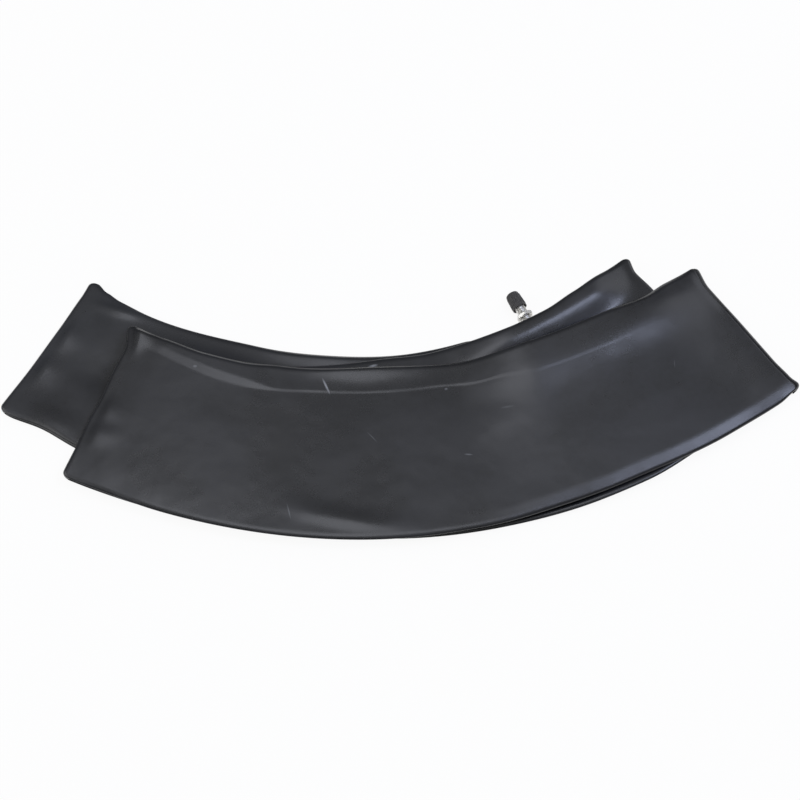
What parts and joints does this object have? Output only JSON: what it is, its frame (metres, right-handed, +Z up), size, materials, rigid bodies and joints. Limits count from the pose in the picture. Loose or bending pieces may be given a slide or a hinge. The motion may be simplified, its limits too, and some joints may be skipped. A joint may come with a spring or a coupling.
{
  "type": "bicycle inner tube",
  "caption": "Wide black rubber inner tube let down flat and folded into a curved bundle, with a threaded metal valve, spring core, nuts and screw cap at its hollow edge.",
  "frame": {"origin": "centre of the folded bundle's footprint, on the surface it lies on", "axes": "+X along the bundle to its right end, +Y across it towards the hollow rim side where the valve is, +Z up through the layers"},
  "size_m": [0.577, 0.2223, 0.0229],
  "materials": {
    "tube_rubber": "satin butyl rubber with a soft bluish sheen",
    "base_rubber": "matt",
    "nickel_plate": "nickel plated brass, satin",
    "core_brass": "machined",
    "spring_steel": "drawn wire",
    "red_seal": "matt",
    "black_seal": "matt",
    "cap_plastic": "fine grained, slightly speckled"
  },
  "bodies": {
    "tube": {"tube_body": "tube_rubber", "valve_base": "base_rubber", "valve_stem": "nickel_plate", "base_washer": "nickel_plate", "base_nut": "nickel_plate", "core_plug": "core_brass", "core_barrel": "core_brass", "core_ring": "red_seal", "core_spring": "spring_steel"},
    "rim_nut": {"rim_nut": "nickel_plate"},
    "core_pin": {"core_pin": "core_brass", "core_cup": "core_brass", "core_cup_seal": "black_seal"},
    "cap_seal": {"cap_gasket": "black_seal"},
    "cap": {"valve_cap": "cap_plastic"}
  },
  "joints": [
    {"name": "rim_nut_slide", "type": "slide", "parent": "tube", "child": "rim_nut", "axis": [-0.4544, 0.8887, -0.061], "range_m": [-0.0049, 0.0054]},
    {"name": "core_pin_press", "type": "slide", "parent": "tube", "child": "core_pin", "axis": [0.4544, -0.8887, 0.061], "range_m": [0, 0.0012], "stiffness_N_per_m": 1260, "springref_m": -0.0012, "deforming": ["core_spring"]},
    {"name": "cap_lift", "type": "slide", "parent": "tube", "child": "cap_seal", "axis": [-0.4544, 0.8887, -0.061], "range_m": [0, 0.0103]},
    {"name": "cap_spin", "type": "hinge", "parent": "cap_seal", "child": "cap", "pos_m": [0.08511, 0.07567, 0.00685], "axis": [-0.4544, 0.8887, -0.061], "range_deg": [0, 4672]}
  ],
  "couplings": [
    {"joint": "cap_spin", "follows": "cap_lift", "rad_per_m": 7915.8}
  ]
}
